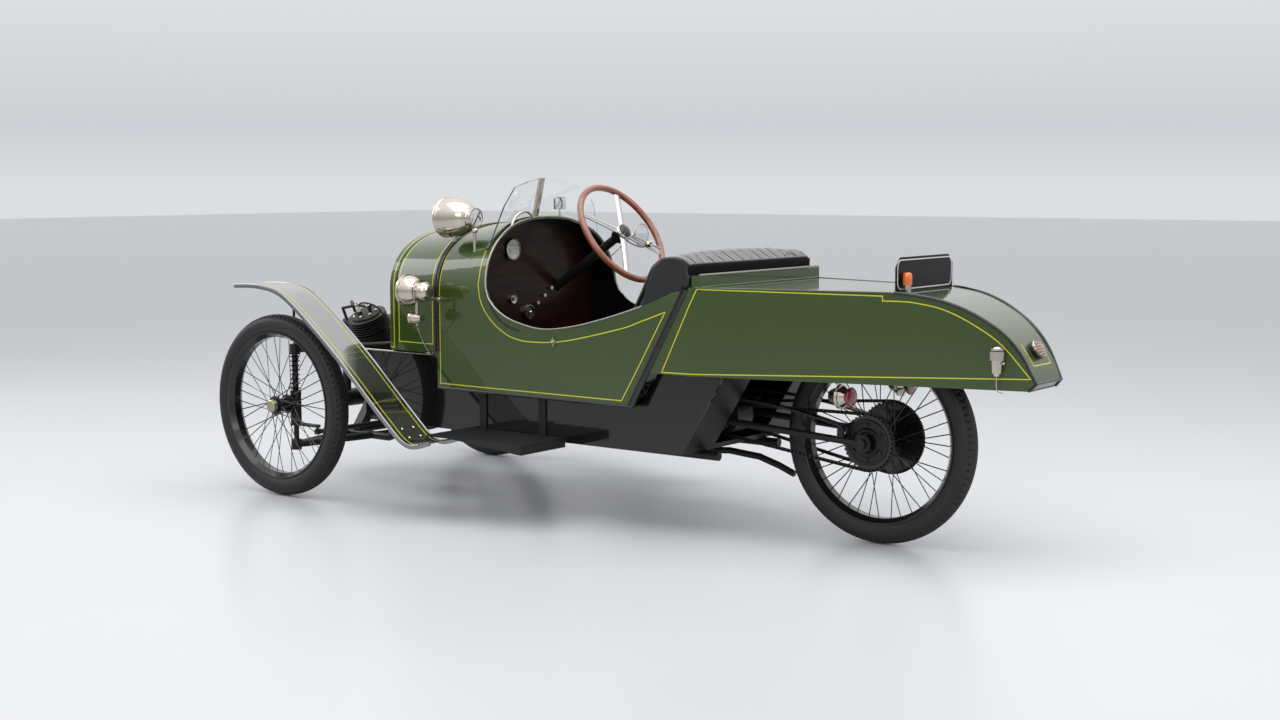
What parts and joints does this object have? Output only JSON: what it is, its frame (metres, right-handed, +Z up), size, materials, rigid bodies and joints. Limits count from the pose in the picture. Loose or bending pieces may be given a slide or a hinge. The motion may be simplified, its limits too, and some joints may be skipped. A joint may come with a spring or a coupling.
{
  "type": "three wheeled sports car",
  "caption": "Open two seat vintage sports car with two steered wire wheels in front, an exposed twin engine, and one chain driven wheel under a boat tail.",
  "frame": {"origin": "on the ground under the middle of the overall length, on the centreline", "axes": "+X forward, +Y to the car's left, +Z up"},
  "size_m": [3.221, 1.36, 1.216],
  "materials": {
    "green_enamel": "gloss",
    "black_enamel": "gloss",
    "nickel": "polished",
    "dark_wood": "gloss",
    "bare_aluminium": "satin",
    "black_leather": "satin",
    "screen_glass": "clear",
    "tyre": "matt"
  },
  "bodies": {
    "chassis": {"pillar_left": "black_enamel", "pillar_right": "black_enamel", "cross_tubes_lower": "black_enamel", "cross_tube_upper": "black_enamel", "steering_column": "black_enamel", "crankcase": "black_enamel", "cylinder_left": "black_enamel", "cylinder_right": "black_enamel", "exhaust": "black_enamel", "body_tub": "green_enamel", "bonnet": "green_enamel", "nose_cowl": "green_enamel", "chassis_side_left": "black_enamel", "chassis_side_right": "black_enamel", "floor_tray": "black_enamel", "seat_board": "dark_wood", "frame_rail_left": "black_enamel", "frame_rail_right": "black_enamel", "torque_tube": "black_enamel", "dashboard": "dark_wood", "seat_back": "black_leather", "seat_cushion": "black_leather", "tail": "green_enamel", "bevel_box": "black_enamel", "chain_left": "black_enamel", "chain_right": "black_enamel", "rear_fork": "black_enamel", "leaf_springs": "black_enamel", "front_wing_left": "black_enamel", "front_wing_right": "black_enamel", "running_step_left": "black_enamel", "running_step_right": "black_enamel", "screen_post": "nickel", "windscreen_left": "screen_glass", "windscreen_right": "screen_glass", "spot_lamp": "nickel", "side_lamp_left": "nickel", "side_lamp_right": "nickel", "number_plate": "black_enamel", "engine_gear": "bare_aluminium", "scuttle_fittings": "nickel", "instruments": "nickel", "pedals": "bare_aluminium", "tail_lamps": "nickel", "tail_fittings": "nickel"},
    "knuckle_left": {"knuckle_left": "black_enamel"},
    "knuckle_right": {"knuckle_right": "black_enamel"},
    "tie_rod": {"tie_rod": "black_enamel"},
    "drop_arm": {"drop_arm": "black_enamel"},
    "drag_link": {"drag_link": "black_enamel"},
    "steering_wheel": {"steering_wheel_rim": "dark_wood", "steering_wheel_spokes": "bare_aluminium"},
    "front_wheel_left": {"front_tyre_left": "tyre", "front_wheel_left": "black_enamel", "hub_cap_left": "nickel"},
    "front_wheel_right": {"front_tyre_right": "tyre", "front_wheel_right": "black_enamel", "hub_cap_right": "nickel"},
    "rear_wheel": {"rear_tyre": "tyre", "rear_wheel": "black_enamel"}
  },
  "joints": [
    {"name": "steer_left", "type": "hinge", "parent": "chassis", "child": "knuckle_left", "pos_m": [1.2605, 0.53, 0.35], "axis": [0, 0, 1], "range_deg": [-22, 22]},
    {"name": "steer_right", "type": "hinge", "parent": "chassis", "child": "knuckle_right", "pos_m": [1.2605, -0.53, 0.35], "axis": [0, 0, 1], "range_deg": [-22, 22]},
    {"name": "tie_rod_turn", "type": "hinge", "parent": "knuckle_left", "child": "tie_rod", "pos_m": [1.1405, 0.53, 0.247], "axis": [0, 0, 1], "range_deg": [-22, 22]},
    {"name": "drop_arm_turn", "type": "hinge", "parent": "chassis", "child": "drop_arm", "pos_m": [1.1805, -0.163, 0.305], "axis": [0, 0, 1], "range_deg": [-22, 22]},
    {"name": "drag_link_turn", "type": "hinge", "parent": "drop_arm", "child": "drag_link", "pos_m": [1.0605, -0.163, 0.285], "axis": [0, 0, 1], "range_deg": [-22, 22]},
    {"name": "steering_wheel_turn", "type": "hinge", "parent": "chassis", "child": "steering_wheel", "pos_m": [0.1935, -0.163, 1.008], "axis": [-0.8353, 0, 0.5498], "range_deg": [-66, 66]},
    {"name": "front_left_spin", "type": "hinge", "parent": "knuckle_left", "child": "front_wheel_left", "pos_m": [1.2605, 0.5985, 0.35], "axis": [0, 1, 0], "continuous": true},
    {"name": "front_right_spin", "type": "hinge", "parent": "knuckle_right", "child": "front_wheel_right", "pos_m": [1.2605, -0.5985, 0.35], "axis": [0, 1, 0], "continuous": true},
    {"name": "rear_spin", "type": "hinge", "parent": "chassis", "child": "rear_wheel", "pos_m": [-1.0205, 0, 0.35], "axis": [0, 1, 0], "continuous": true}
  ],
  "couplings": [
    {"joint": "steer_right", "follows": "steer_left", "ratio": 1},
    {"joint": "tie_rod_turn", "follows": "steer_left", "ratio": -1},
    {"joint": "drop_arm_turn", "follows": "steer_left", "ratio": 1},
    {"joint": "drag_link_turn", "follows": "steer_left", "ratio": -1},
    {"joint": "steering_wheel_turn", "follows": "steer_left", "ratio": 3}
  ]
}
